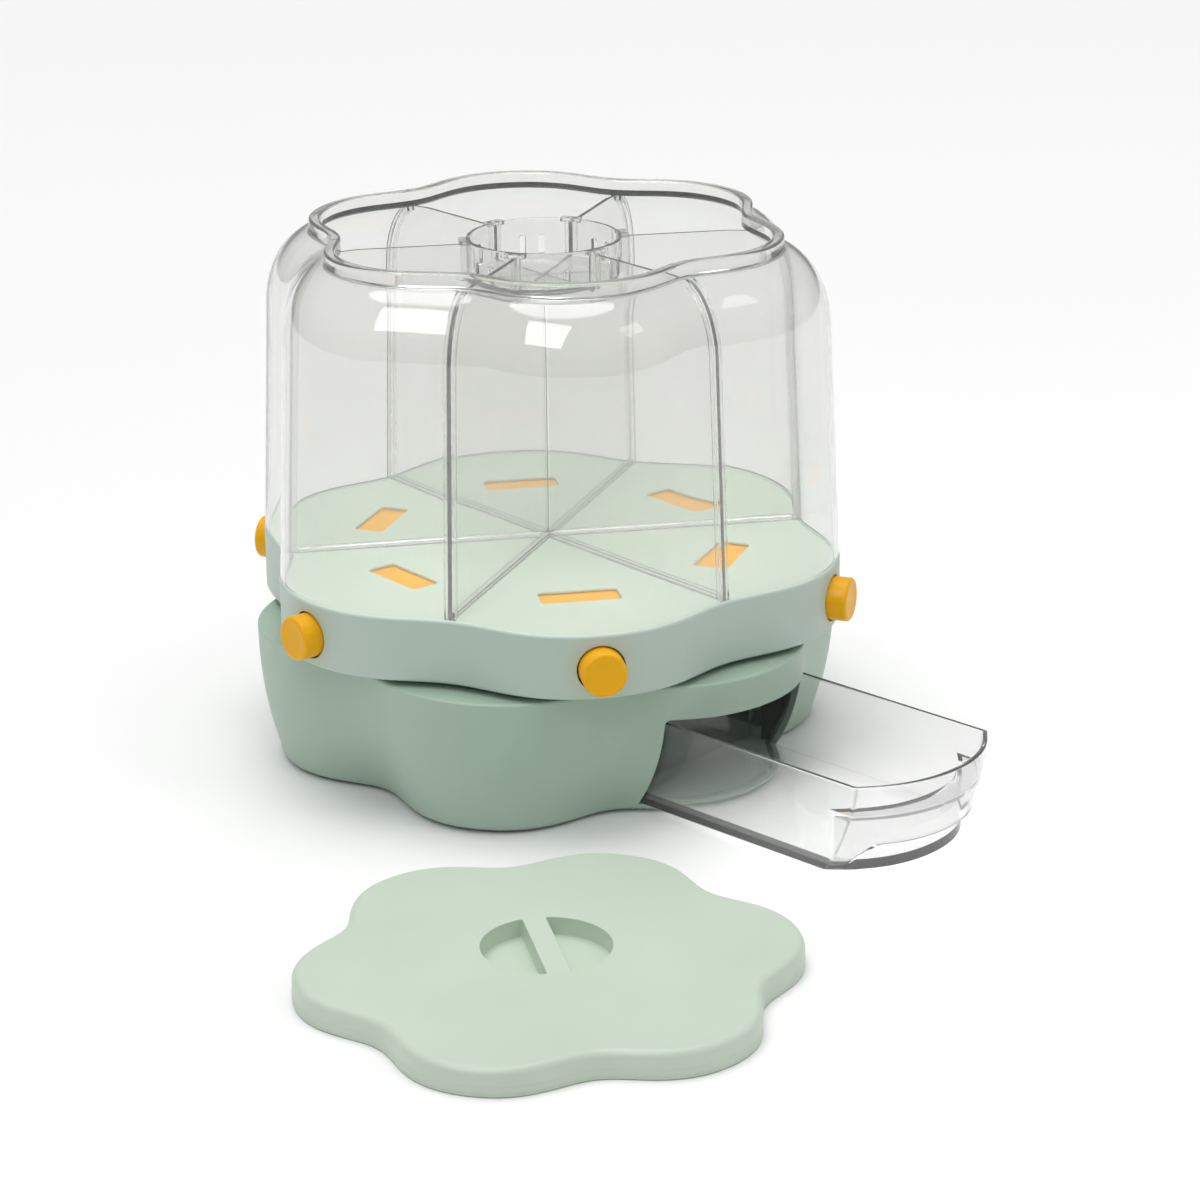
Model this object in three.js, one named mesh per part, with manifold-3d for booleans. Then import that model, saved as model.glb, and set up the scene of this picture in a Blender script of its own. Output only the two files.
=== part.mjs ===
// A turntable dry-food dispenser: a clear six-lobed container on a turning tray, six push-button
// gates, and a base with a catch drawer. The lid lies beside it and the drawer stands part way out.
// Millimetres, +Z up. The origin is on the turntable's axis, on the surface that the feet stand on.
// The drawer slides out along -Y.
import * as THREE from "three";
import { mergeVertices } from "three/addons/utils/BufferGeometryUtils.js";
import Module from "manifold-3d";

// ---- driving dimensions ----
const LOBES = 6;
const LOBE_SHAPE = -0.13; // share of the second harmonic: broad lobes, tight notches
const SEGMENTS = 36; // steps round a lobed outline, a multiple of twice the lobes

const CLEARANCE = 0.4; // between pieces that slide or turn on each other
const SEAT_GAP = 0.3; // between pieces that rest on each other

// base
const BASE_LIFT = 1.2; // foot pads stand this far below the base
const BASE_TOP = 65.5;
const BASE_MEAN = 132;
const BASE_LOBE = 7;
const BASE_FOOT_MEAN = 119; // mean radius at the bottom edge
const BASE_FOOT_LOBE = 10.4;
const BASE_WALL = 2.6;
const BASE_EDGE = 1.2; // rounding of the deck's edge
const BASE_UNDERCUT = 1.8; // rounding of the bottom edge, sideways
const DECK = 3;
const PLATE = 3;

// drawer
const DRAWER_HALF = 45.2;
const DRAWER_TOP = 47.4;
const DRAWER_BACK = -20; // back wall when the drawer is shut, from the turntable's axis
const DRAWER_WALL = 2.2;
const DRAWER_OUT = 107; // how far the drawer stands out
const GRIP_DEPTH = 12;
const GRIP_LIP = 18.5; // height of the notch in the drawer's front
const GRIP_CEILING = 31; // height of the finger space behind the front
const GRIP_HALF_TOP = 33;
const GRIP_HALF_FOOT = 42;

// carousel
const TRAY_BOTTOM = 68;
const TRAY_TOP = 97.5;
const TRAY_MEAN = 132.9;
const TRAY_LOBE = 7.1;
const SKIRT = 3;
const TRAY_FLOOR = 2.5;
const COVER = 1.2;
const REST_TURN = 24.3; // degrees that a compartment stands past the outlet

// food gates
const SLOT_RADIUS = 85;
const SLOT_DEPTH = 15; // along the radius
const SLOT_WIDTH = 36; // across it
const GATE_WINDOW = 6.2;
const PRESS = 8;
const BUTTON_RADIUS = 10.1;
const BUTTON_HEIGHT = 82; // of its axis
const BUTTON_STAND = 8.6; // how far a button stands out of the skirt
const SHUTTER = 2.2;
const SHUTTER_MARGIN = 4;
const STEM_RADIUS = 2.8;
const SPRING_RADIUS = 5;
const SPRING_WIRE = 0.6;
const SPRING_TURNS = 5;

// container
const SHELL_WALL = 2.2;
const SHELL_TOP = 247;
const SHOULDER_START = 205;
const SHELL_DRAFT = 5; // how much narrower the wall is at the shoulder than at the tray
const RIM_MEAN = 106;
const RIM_LOBE = 6.9;
const RIM_WIDTH = 5.4;
const RIM_HEIGHT = 5.5;
const BLADE = 2;
const BLADE_TOP = 239.5;
const BLADE_REACH = 86; // radius of a blade's top corner
const BLADE_FOOT = 5; // width of the strip along a blade's lower edge
const BLADE_FOOT_HEIGHT = 2.5;
const RIB = 1.2;
const RIB_DEPTH = 3;

// desiccant cup
const CUP_RADIUS = 35.5;
const CUP_WALL = 1.8;
const CUP_DEPTH = 17;
const CUP_SLOT = 3;
const CUP_RIB = 1.4; // two ribs hold each blade's inner edge between them
const CUP_RIB_DEPTH = 2.6;

// lid
const LID_MEAN = 98.3;
const LID_LOBE = 7.4;
const LID_THICK = 12;
const LID_WALL = 3.5;
const LID_TOP_WALL = 2.5;
const LID_EDGE = 3.6;
const HANDLE_RADIUS = 27;
const HANDLE_BAR = 10;
const HANDLE_DEPTH = 8.3;
const HANDLE_OFFSET = 8; // from the lid's middle, along the bar
const LID_PLACE = [-194.6, -192.6];
const LID_TURN = -34; // degrees

// pivot and fasteners
const POST_RADIUS = 14;
const POST_TOP = 80;
const HUB_WALL = 4.4;
const GLIDE_RADIUS = 63;
const GLIDE_WIDTH = 6;
const SCREW_RADIUS = 1.5;
const SCREW_HEAD = 3;
const SCREW_HEAD_HEIGHT = 1.8;
const BOSS_RADIUS = 4.5;
const BASE_SCREW_RADIUS = 97;
const BASE_SCREW_ANGLES = [38, 90, 142, 218, 270, 322];
const COVER_SCREW_RADIUS = 112;
const FOOT_RADIUS = 7;
const FOOT_CIRCLE = 84;

// ---- derived sizes ----
const sector = (2 * Math.PI) / LOBES;
const degrees = Math.PI / 180;
const plateTop = BASE_LIFT + PLATE;
const drawerBottom = plateTop + CLEARANCE;
const openingHalf = DRAWER_HALF + 1.4;
const openingTop = DRAWER_TOP + 2.2;
const deckUnder = BASE_TOP - DECK;
const coverUnder = TRAY_TOP - COVER;
const shutterTop = coverUnder - CLEARANCE;
const shutterUnder = shutterTop - SHUTTER;
const windowInner = SLOT_RADIUS + SLOT_DEPTH / 2 + CLEARANCE;
const chuteInner = windowInner - PRESS - 0.3;
const chuteOuter = windowInner + GATE_WINDOW - PRESS + 0.3;
const CHUTE_WALL = 1.6;
const stemEnd = chuteOuter + CHUTE_WALL + 0.6 + PRESS;
const bracketInner = stemEnd + 1;
const BRACKET = 3;
const lobeRadius = TRAY_MEAN + TRAY_LOBE * (1 + LOBE_SHAPE);
const EAR = 3.2;
const earOuter = lobeRadius - SKIRT - 3;
const earInner = earOuter - EAR;
const shutterInner = SLOT_RADIUS - SLOT_DEPTH / 2 - 2.5;
const shutterOuter = earOuter - 2;
const shellBottom = TRAY_TOP + SEAT_GAP;
const bladeBottom = TRAY_TOP + SEAT_GAP;
const tubeTop = shutterUnder - CLEARANCE;

// ---- solids ----
const wasm = await Module();
wasm.setup();

function solid(geometry) {
  const bare = geometry.clone();
  bare.deleteAttribute("normal");
  bare.deleteAttribute("uv");
  const merged = mergeVertices(bare, 1e-4);
  const corners = Array.from(merged.index.array);
  const triVerts = [];
  for (let i = 0; i < corners.length; i += 3) {
    const [a, b, c] = corners.slice(i, i + 3);
    if (a !== b && b !== c && c !== a) triVerts.push(a, b, c);
  }
  const vertProperties = merged.attributes.position.array;
  const build = (triangles) =>
    new wasm.Manifold(
      new wasm.Mesh({ numProp: 3, vertProperties, triVerts: new Uint32Array(triangles) }),
    );
  const made = build(triVerts);
  return made.volume() > 0 ? made : build(triVerts.reverse());
}

const joined = (first, ...others) => others.reduce((sum, one) => sum.add(one), first);
const without = (first, ...others) => others.reduce((rest, one) => rest.subtract(one), first);

function mesh(name, made, material) {
  const data = made.getMesh();
  const geometry = new THREE.BufferGeometry();
  const points = new Float32Array(data.numVert * 3);
  for (let i = 0; i < data.numVert; i++) {
    points.set(data.vertProperties.subarray(i * data.numProp, i * data.numProp + 3), i * 3);
  }
  geometry.setAttribute("position", new THREE.BufferAttribute(points, 3));
  geometry.setIndex(new THREE.BufferAttribute(new Uint32Array(data.triVerts), 1));
  geometry.computeVertexNormals();
  const piece = new THREE.Mesh(geometry, material);
  piece.name = name;
  return piece;
}

function block(x0, x1, y0, y1, z0, z1) {
  const box = new THREE.BoxGeometry(x1 - x0, y1 - y0, z1 - z0);
  return box.translate((x0 + x1) / 2, (y0 + y1) / 2, (z0 + z1) / 2);
}

function cylinder(radius, z0, z1, sides = 24) {
  const rod = new THREE.CylinderGeometry(radius, radius, z1 - z0, sides);
  return rod.rotateX(Math.PI / 2).translate(0, 0, (z0 + z1) / 2);
}

// A cylinder along X from x0 to x1, at height z.
function axle(radius, x0, x1, z, sides = 24) {
  return cylinder(radius, x0, x1, sides).rotateY(Math.PI / 2).translate(0, 0, z);
}

function ring(inner, outer, z0, z1, sides = 32) {
  return without(solid(cylinder(outer, z0, z1, sides)), solid(cylinder(inner, z0 - 1, z1 + 1, sides)));
}

// A plan outline pushed up from z0 to z1.
function prism(points, z0, z1) {
  const shape = new THREE.Shape(points.map(([x, y]) => new THREE.Vector2(x, y)));
  return new THREE.ExtrudeGeometry(shape, { depth: z1 - z0, bevelEnabled: false }).translate(0, 0, z0);
}

// A flat plate in the plane of the radius and the height, its thickness across them.
function blade(points, thickness, across = 0) {
  const plate = prism(points, -thickness / 2, thickness / 2).rotateX(Math.PI / 2);
  return plate.translate(0, across, 0);
}

const lobeWave = (angle) => Math.cos(LOBES * angle) + LOBE_SHAPE * Math.cos(2 * LOBES * angle);

// A lathe whose radii swell into lobes. Each profile point is [mean radius, height, lobe depth].
function lobedLathe(profile) {
  const points = profile.map(([radius, height]) => new THREE.Vector2(radius, height));
  const lathe = new THREE.LatheGeometry(points, SEGMENTS).rotateX(Math.PI / 2);
  const place = lathe.attributes.position;
  for (let i = 0; i < place.count; i++) {
    const [mean, , depth] = profile[i % profile.length];
    const angle = Math.atan2(place.getY(i), place.getX(i));
    const radius = mean > 0 ? mean + depth * lobeWave(angle) : 0;
    place.setXY(i, radius * Math.cos(angle), radius * Math.sin(angle));
  }
  return solid(lathe);
}

// The filled solid inside a profile that runs upwards.
function filled(profile) {
  const low = profile[0][1];
  const high = profile[profile.length - 1][1];
  return lobedLathe([[0, low, 0], ...profile, [0, high, 0]]);
}

const lobedPlate = (mean, depth, z0, z1) =>
  filled([
    [mean, z0, depth],
    [mean, z1, depth],
  ]);

// Rounds of pieces: one made along +X, turned to each place.
const turned = (geometry, angle) => geometry.clone().rotateZ(angle);
const lobeAngles = Array.from({ length: LOBES }, (_, i) => i * sector);
const notchAngles = lobeAngles.map((angle) => angle + sector / 2);
const each = (angles, geometry) => angles.map((angle) => solid(turned(geometry, angle)));

// ---- materials ----
const plastic = (color, roughness) => new THREE.MeshStandardMaterial({ color, roughness, metalness: 0 });
const clear = () =>
  new THREE.MeshStandardMaterial({
    color: 0xe4e6e4,
    roughness: 0.05,
    metalness: 0,
    transparent: true,
    opacity: 0.35,
  });
const sage = plastic(0xb4c6b8, 0.45);
const paleSage = plastic(0xcbdacb, 0.45);
const yellow = plastic(0xf5b800, 0.4);
const rubber = plastic(0x8d9691, 0.8);
const whiteNylon = plastic(0xeceae4, 0.5);
const steel = new THREE.MeshStandardMaterial({ color: 0xb8bcc0, roughness: 0.3, metalness: 1 });

// ---- base: its own group has +X towards the drawer ----
// The base's side, from its foot to its deck, set in by an inset.
function baseSide(inset) {
  const rise = BASE_TOP - BASE_LIFT;
  const at = (share, tuck) => [
    BASE_MEAN - (BASE_MEAN - BASE_FOOT_MEAN) * tuck - inset,
    BASE_LIFT + rise * share,
    BASE_LOBE + (BASE_FOOT_LOBE - BASE_LOBE) * tuck,
  ];
  return [at(0, 1), at(0.09, 0.84), at(0.3, 0.44), at(0.55, 0.16), at(0.78, 0.03), at(0.97, 0)];
}

function baseOutside(inset) {
  const [foot, ...side] = baseSide(inset);
  const [mean, low, depth] = foot;
  return filled([
    [mean - BASE_UNDERCUT, low, depth],
    [mean - BASE_UNDERCUT * 0.3, low + BASE_UNDERCUT * 0.7, depth],
    [mean + BASE_UNDERCUT * 0.35, low + BASE_UNDERCUT * 1.7, depth],
    ...side,
    [BASE_MEAN - inset - BASE_EDGE * 0.3, BASE_TOP - BASE_EDGE * 0.3, BASE_LOBE],
    [BASE_MEAN - inset - BASE_EDGE, BASE_TOP, BASE_LOBE],
  ]);
}

const onBaseScrew = (geometry) =>
  BASE_SCREW_ANGLES.map((angle) =>
    turned(geometry.clone().translate(BASE_SCREW_RADIUS, 0, 0), angle * degrees),
  );

function baseShell() {
  const side = baseSide(BASE_WALL);
  const hollow = filled([
    [side[0][0] - 0.6, BASE_LIFT - 1, side[0][2]],
    ...side.slice(0, 5),
    [BASE_MEAN - BASE_WALL, deckUnder, BASE_LOBE],
  ]);
  const opening = solid(block(60, 160, -openingHalf, openingHalf, plateTop + 0.2, openingTop));
  const post = solid(cylinder(POST_RADIUS, deckUnder, POST_TOP, 32));
  const pilot = solid(cylinder(7, deckUnder - 10, deckUnder + 1, 20));
  const pivotHole = solid(cylinder(2.7, deckUnder - 5, POST_TOP + 1, 16));
  const bosses = onBaseScrew(cylinder(BOSS_RADIUS, plateTop + 0.2, deckUnder + 0.5, 12)).map(solid);
  const holes = onBaseScrew(cylinder(SCREW_RADIUS + 0.2, plateTop - 1, plateTop + 13, 8)).map(solid);
  const outletHalf = SLOT_WIDTH / 2 + 1.5;
  const outletIn = chuteInner - 3;
  const outletOut = chuteOuter + 3;
  const funnel = solid(
    block(
      outletIn - CHUTE_WALL,
      outletOut + CHUTE_WALL,
      -outletHalf - CHUTE_WALL,
      outletHalf + CHUTE_WALL,
      openingTop + 0.6,
      deckUnder + 0.5,
    ),
  );
  const outlet = solid(block(outletIn, outletOut, -outletHalf, outletHalf, openingTop - 1, BASE_TOP + 1));
  const groove = ring(
    GLIDE_RADIUS - GLIDE_WIDTH / 2 - SEAT_GAP,
    GLIDE_RADIUS + GLIDE_WIDTH / 2 + SEAT_GAP,
    BASE_TOP - 1,
    BASE_TOP + 1,
  );
  const body = joined(without(baseOutside(0), hollow, opening), post, pilot, funnel, ...bosses);
  return without(body, pivotHole, outlet, groove, ...holes);
}

function basePlate() {
  const [mean, , depth] = baseSide(BASE_WALL)[0];
  const plate = lobedPlate(mean - 1.2, depth, BASE_LIFT, plateTop);
  const railIn = DRAWER_HALF + 1;
  const railOut = railIn + 2;
  const railTop = plateTop + 8;
  const railBack = DRAWER_BACK - 1;
  const railFront = 92;
  const rails = [
    block(railBack - 2, railFront, railIn, railOut, plateTop - 0.5, railTop),
    block(railBack - 2, railFront, -railOut, -railIn, plateTop - 0.5, railTop),
    block(railBack - 2, railBack, -railIn - 0.5, railIn + 0.5, plateTop - 0.5, railTop),
  ].map(solid);
  const heads = onBaseScrew(cylinder(SCREW_HEAD + 0.3, BASE_LIFT - 1, BASE_LIFT + SCREW_HEAD_HEIGHT + 0.3, 10));
  const shanks = onBaseScrew(cylinder(SCREW_RADIUS + 0.3, BASE_LIFT - 1, plateTop + 1, 8));
  const pads = footPlaces().map(([x, y]) =>
    cylinder(FOOT_RADIUS + SEAT_GAP, BASE_LIFT - 1, BASE_LIFT + 1, 16).translate(x, y, 0),
  );
  return without(joined(plate, ...rails), ...[...heads, ...shanks, ...pads].map(solid));
}

// Six pads under the lobes and one in the middle.
function footPlaces() {
  const round = lobeAngles.map((angle) => [FOOT_CIRCLE * Math.cos(angle), FOOT_CIRCLE * Math.sin(angle)]);
  return [...round, [0, 0]];
}

// A screw driven upwards, the foot of its head at height low.
function screw(low, length) {
  const head = cylinder(SCREW_HEAD, 0, SCREW_HEAD_HEIGHT, 10);
  const shank = cylinder(SCREW_RADIUS, SCREW_HEAD_HEIGHT - 0.2, length, 8);
  return joined(...[head, shank].map((piece) => solid(piece.translate(0, 0, low))));
}

// ---- drawer, in the base's group ----
const behindFront = BASE_MEAN - GRIP_DEPTH - 30;
const pastFront = BASE_MEAN + BASE_LOBE + 20;

// The finger space between the drawer's front and the wall behind it, grown by a wall.
function gripSpace(grow) {
  const half = DRAWER_HALF - DRAWER_WALL + grow;
  const space = solid(block(behindFront, pastFront, -half, half, -5, GRIP_CEILING + grow));
  const behind = lobedPlate(BASE_MEAN - GRIP_DEPTH - grow, BASE_LOBE, -10, DRAWER_TOP + 10);
  return without(space.intersect(baseOutside(DRAWER_WALL - grow)), behind);
}

// The notch through the drawer's front, wider at its foot.
function gripNotch() {
  const half = (height) => {
    const share = (height - drawerBottom) / (GRIP_LIP - drawerBottom);
    return GRIP_HALF_FOOT + (GRIP_HALF_TOP - GRIP_HALF_FOOT) * share;
  };
  const notch = prism(
    [
      [-half(0), 0],
      [half(0), 0],
      [half(GRIP_LIP), GRIP_LIP],
      [-half(GRIP_LIP), GRIP_LIP],
    ],
    behindFront,
    pastFront,
  );
  // The prism's X becomes Y, its Y becomes Z and its height becomes X.
  notch.rotateX(Math.PI / 2).rotateZ(Math.PI / 2);
  const behind = lobedPlate(BASE_MEAN - GRIP_DEPTH, BASE_LOBE, -10, DRAWER_TOP + 10);
  return without(solid(notch), behind);
}

function drawer() {
  const outer = solid(block(DRAWER_BACK, pastFront, -DRAWER_HALF, DRAWER_HALF, drawerBottom, DRAWER_TOP));
  const inner = solid(
    block(
      DRAWER_BACK + DRAWER_WALL,
      pastFront,
      DRAWER_WALL - DRAWER_HALF,
      DRAWER_HALF - DRAWER_WALL,
      drawerBottom + DRAWER_WALL,
      DRAWER_TOP + 1,
    ),
  );
  const hollow = without(inner.intersect(baseOutside(DRAWER_WALL)), gripSpace(DRAWER_WALL));
  return without(outer.intersect(baseOutside(0)), hollow, gripSpace(0), gripNotch());
}

// ---- carousel: its own group has a lobe along +X ----
function tray() {
  const inside = TRAY_MEAN - SKIRT;
  const cup = without(
    lobedPlate(TRAY_MEAN, TRAY_LOBE, TRAY_BOTTOM, TRAY_TOP),
    lobedPlate(inside, TRAY_LOBE, TRAY_BOTTOM + TRAY_FLOOR, TRAY_TOP + 1),
  );
  const hub = solid(cylinder(POST_RADIUS + CLEARANCE + HUB_WALL, TRAY_BOTTOM + 1, POST_TOP - CLEARANCE, 32));
  const bore = solid(cylinder(POST_RADIUS + CLEARANCE, TRAY_BOTTOM - 1, POST_TOP + 1, 32));
  const half = SLOT_WIDTH / 2 - 0.5;
  const tubes = each(
    lobeAngles,
    block(
      chuteInner - CHUTE_WALL,
      chuteOuter + CHUTE_WALL,
      -half - CHUTE_WALL,
      half + CHUTE_WALL,
      TRAY_BOTTOM + 1,
      tubeTop,
    ),
  );
  const chutes = each(lobeAngles, block(chuteInner, chuteOuter, -half, half, TRAY_BOTTOM - 1, tubeTop + 1));
  const brackets = each(
    lobeAngles,
    block(bracketInner, bracketInner + BRACKET, -8, 8, TRAY_BOTTOM + 1, tubeTop),
  );
  const stemHoles = each(
    lobeAngles,
    axle(STEM_RADIUS + CLEARANCE, bracketInner - 1, bracketInner + BRACKET + 1, BUTTON_HEIGHT, 10),
  );
  const buttonHoles = each(
    lobeAngles,
    axle(BUTTON_RADIUS + CLEARANCE, lobeRadius - SKIRT - 4, lobeRadius + 5, BUTTON_HEIGHT, 20),
  );
  const atScrew = (geometry) => each(notchAngles, geometry.translate(COVER_SCREW_RADIUS, 0, 0));
  const bosses = atScrew(cylinder(BOSS_RADIUS, TRAY_BOTTOM + 1, coverUnder - 8, 12));
  const heads = atScrew(
    cylinder(SCREW_HEAD + 0.3, TRAY_BOTTOM - 1, TRAY_BOTTOM + 0.6 + SCREW_HEAD_HEIGHT + 0.3, 10),
  );
  const shanks = atScrew(cylinder(SCREW_RADIUS + 0.3, TRAY_BOTTOM, coverUnder, 8));
  const body = joined(cup, hub, ...tubes, ...brackets, ...bosses);
  return without(body, bore, ...chutes, ...stemHoles, ...buttonHoles, ...heads, ...shanks);
}

function trayCover() {
  const mean = TRAY_MEAN - SKIRT - CLEARANCE;
  const plate = lobedPlate(mean, TRAY_LOBE, coverUnder, TRAY_TOP);
  const slot = block(
    SLOT_RADIUS - SLOT_DEPTH / 2,
    SLOT_RADIUS + SLOT_DEPTH / 2,
    -SLOT_WIDTH / 2,
    SLOT_WIDTH / 2,
    coverUnder - 1,
    TRAY_TOP + 1,
  );
  const bossLow = coverUnder - 8 + SEAT_GAP;
  const boss = cylinder(BOSS_RADIUS, bossLow, coverUnder + 0.5, 12).translate(COVER_SCREW_RADIUS, 0, 0);
  const hole = cylinder(SCREW_RADIUS + 0.2, bossLow - 1, TRAY_TOP - 0.8, 8).translate(COVER_SCREW_RADIUS, 0, 0);
  return without(
    joined(plate, ...each(notchAngles, boss)),
    ...each(lobeAngles, slot),
    ...each(notchAngles, hole),
  );
}

// A button, its stem and its shutter are one moulding, made along +X.
function button() {
  const half = SLOT_WIDTH / 2 + SHUTTER_MARGIN;
  const face = lobeRadius + BUTTON_STAND;
  const cap = axle(BUTTON_RADIUS, earInner, face - 1, BUTTON_HEIGHT, 20);
  const crown = cylinder(BUTTON_RADIUS, face - 1, face, 20);
  const top = crown.attributes.position;
  for (let i = 0; i < top.count; i++) {
    if (top.getZ(i) > face - 0.5) top.setXY(i, top.getX(i) * 0.9, top.getY(i) * 0.9);
  }
  crown.translate(0, 0, -0.01).rotateY(Math.PI / 2).translate(0, 0, BUTTON_HEIGHT);
  const ears = block(earInner, earOuter, -14, 14, BUTTON_HEIGHT - 6, BUTTON_HEIGHT + 6);
  const web = block(earInner, earOuter - 0.5, -8, 8, BUTTON_HEIGHT, shutterTop - 0.2);
  const stem = axle(STEM_RADIUS, stemEnd, earInner + 1, BUTTON_HEIGHT, 10);
  const plate = block(shutterInner, shutterOuter, -half, half, shutterUnder, shutterTop);
  const window = block(
    windowInner,
    windowInner + GATE_WINDOW,
    -SLOT_WIDTH / 2,
    SLOT_WIDTH / 2,
    shutterUnder - 1,
    shutterTop + 1,
  );
  const made = joined(...[cap, crown, ears, web, stem, plate].map(solid));
  return made.subtract(solid(window));
}

// A return spring round the stem, along +X.
function returnSpring() {
  const start = bracketInner + BRACKET + SEAT_GAP + SPRING_WIRE;
  const end = earInner - SEAT_GAP - SPRING_WIRE;
  class Helix extends THREE.Curve {
    getPoint(t, target = new THREE.Vector3()) {
      const angle = 2 * Math.PI * SPRING_TURNS * t;
      return target.set(
        start + (end - start) * t,
        SPRING_RADIUS * Math.cos(angle),
        BUTTON_HEIGHT + SPRING_RADIUS * Math.sin(angle),
      );
    }
  }
  const wire = new THREE.Shape();
  wire.moveTo(SPRING_WIRE, 0);
  for (let i = 1; i < 4; i++) {
    const angle = (i * Math.PI) / 2;
    wire.lineTo(SPRING_WIRE * Math.cos(angle), SPRING_WIRE * Math.sin(angle));
  }
  const steps = SPRING_TURNS * 6;
  return solid(new THREE.ExtrudeGeometry(wire, { steps, extrudePath: new Helix(), bevelEnabled: false }));
}

// ---- container, in the carousel's group ----
const rimBottom = SHELL_TOP - RIM_HEIGHT;
const SHOULDER_STEPS = 5;
const SHOULDER_SWEEP = 80 * degrees;

// The container's outside from the tray to the rim, set in by an inset.
function shellSide(inset) {
  const footMean = TRAY_MEAN - 0.4;
  const shoulderMean = footMean - SHELL_DRAFT;
  const points = [
    [footMean - inset, shellBottom, TRAY_LOBE],
    [shoulderMean - inset, SHOULDER_START, TRAY_LOBE],
  ];
  const rise = rimBottom - SHOULDER_START;
  for (let i = 1; i <= SHOULDER_STEPS; i++) {
    const turn = (i / SHOULDER_STEPS) * SHOULDER_SWEEP;
    const share = (1 - Math.cos(turn)) / (1 - Math.cos(SHOULDER_SWEEP));
    const height = Math.sin(turn) / Math.sin(SHOULDER_SWEEP);
    points.push([
      shoulderMean - (shoulderMean - RIM_MEAN) * share - inset * Math.cos(turn),
      SHOULDER_START + rise * height - inset * Math.sin(turn),
      TRAY_LOBE + (RIM_LOBE - TRAY_LOBE) * share,
    ]);
  }
  return points;
}

// The same side as radius and height in the plane of a notch.
const atNotch = ([mean, height, depth]) => [mean + depth * lobeWave(sector / 2), height];

function containerShell() {
  const outside = shellSide(0);
  const inside = shellSide(SHELL_WALL).reverse();
  const inner = RIM_MEAN - RIM_WIDTH;
  const wall = lobedLathe([
    ...outside,
    [RIM_MEAN, rimBottom + 0.5, RIM_LOBE],
    [RIM_MEAN, SHELL_TOP - 0.8, RIM_LOBE],
    [RIM_MEAN - 0.8, SHELL_TOP, RIM_LOBE],
    [inner + 0.8, SHELL_TOP, RIM_LOBE],
    [inner, SHELL_TOP - 0.8, RIM_LOBE],
    [inner, rimBottom - SHELL_WALL, RIM_LOBE],
    ...inside,
    outside[0],
  ]);
  // Two ribs at each notch hold a blade's edge between them.
  const buried = shellSide(SHELL_WALL / 2).map(atNotch).slice(0, SHOULDER_STEPS + 1);
  const free = shellSide(SHELL_WALL + RIB_DEPTH).map(atNotch).slice(0, SHOULDER_STEPS + 1).reverse();
  const across = BLADE / 2 + CLEARANCE + RIB / 2;
  const ribs = [-across, across].map((place) => blade([...buried, ...free], RIB, place));
  const all = notchAngles.flatMap((angle) => ribs.map((rib) => solid(turned(rib, angle))));
  return joined(wall, ...all);
}

function divider() {
  const edge = shellSide(SHELL_WALL + CLEARANCE)
    .map(atNotch)
    .filter(([radius, height]) => height < BLADE_TOP - 1 && radius > BLADE_REACH);
  edge[0][1] = bladeBottom;
  const recess = CUP_RADIUS + CLEARANCE;
  const recessFloor = BLADE_TOP - CUP_DEPTH - CLEARANCE;
  const outline = [
    [0, bladeBottom],
    ...edge,
    [BLADE_REACH, BLADE_TOP],
    [recess, BLADE_TOP],
    [recess, recessFloor],
    [0, recessFloor],
  ];
  const blades = each(notchAngles, blade(outline, BLADE));
  const [wallRadius] = atNotch(shellSide(SHELL_WALL + RIB_DEPTH)[0]);
  const strip = block(
    0,
    wallRadius - CLEARANCE,
    -BLADE_FOOT / 2,
    BLADE_FOOT / 2,
    bladeBottom,
    bladeBottom + BLADE_FOOT_HEIGHT,
  );
  return joined(solid(cylinder(2.2, bladeBottom, recessFloor, 12)), ...blades, ...each(notchAngles, strip));
}

function desiccantCup() {
  const top = BLADE_TOP + SEAT_GAP + CUP_WALL;
  const low = BLADE_TOP - CUP_DEPTH;
  const wall = without(
    solid(cylinder(CUP_RADIUS, low, top, 30)),
    solid(cylinder(CUP_RADIUS - CUP_WALL, low + CUP_WALL, top + 1, 30)),
  );
  const tabs = each(
    notchAngles,
    block(CUP_RADIUS - CUP_WALL / 2, CUP_RADIUS + 3.5, -5, 5, BLADE_TOP + SEAT_GAP, top),
  );
  const SLOT_LOW = low + CUP_WALL + 0.4;
  const slots = lobeAngles.flatMap((angle) =>
    [-7.5, 7.5].map((turn) =>
      solid(
        turned(
          block(CUP_RADIUS - 6, CUP_RADIUS + 3, -CUP_SLOT / 2, CUP_SLOT / 2, SLOT_LOW, SLOT_LOW + 9),
          angle + turn * degrees,
        ),
      ),
    ),
  );
  const across = BLADE / 2 + CLEARANCE + CUP_RIB / 2;
  const ribs = [-across, across].flatMap((place) =>
    each(
      notchAngles,
      block(
        CUP_RADIUS - CUP_WALL / 2,
        CUP_RADIUS + CUP_RIB_DEPTH,
        place - CUP_RIB / 2,
        place + CUP_RIB / 2,
        low,
        top - CUP_WALL / 2,
      ),
    ),
  );
  return without(joined(wall, ...tabs, ...ribs), ...slots);
}

// ---- lid: its own group has a lobe along +X and the handle's bar along Y ----
const SEAL_LOW = 1.6;
const SEAL_HIGH = 4.2;

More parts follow.
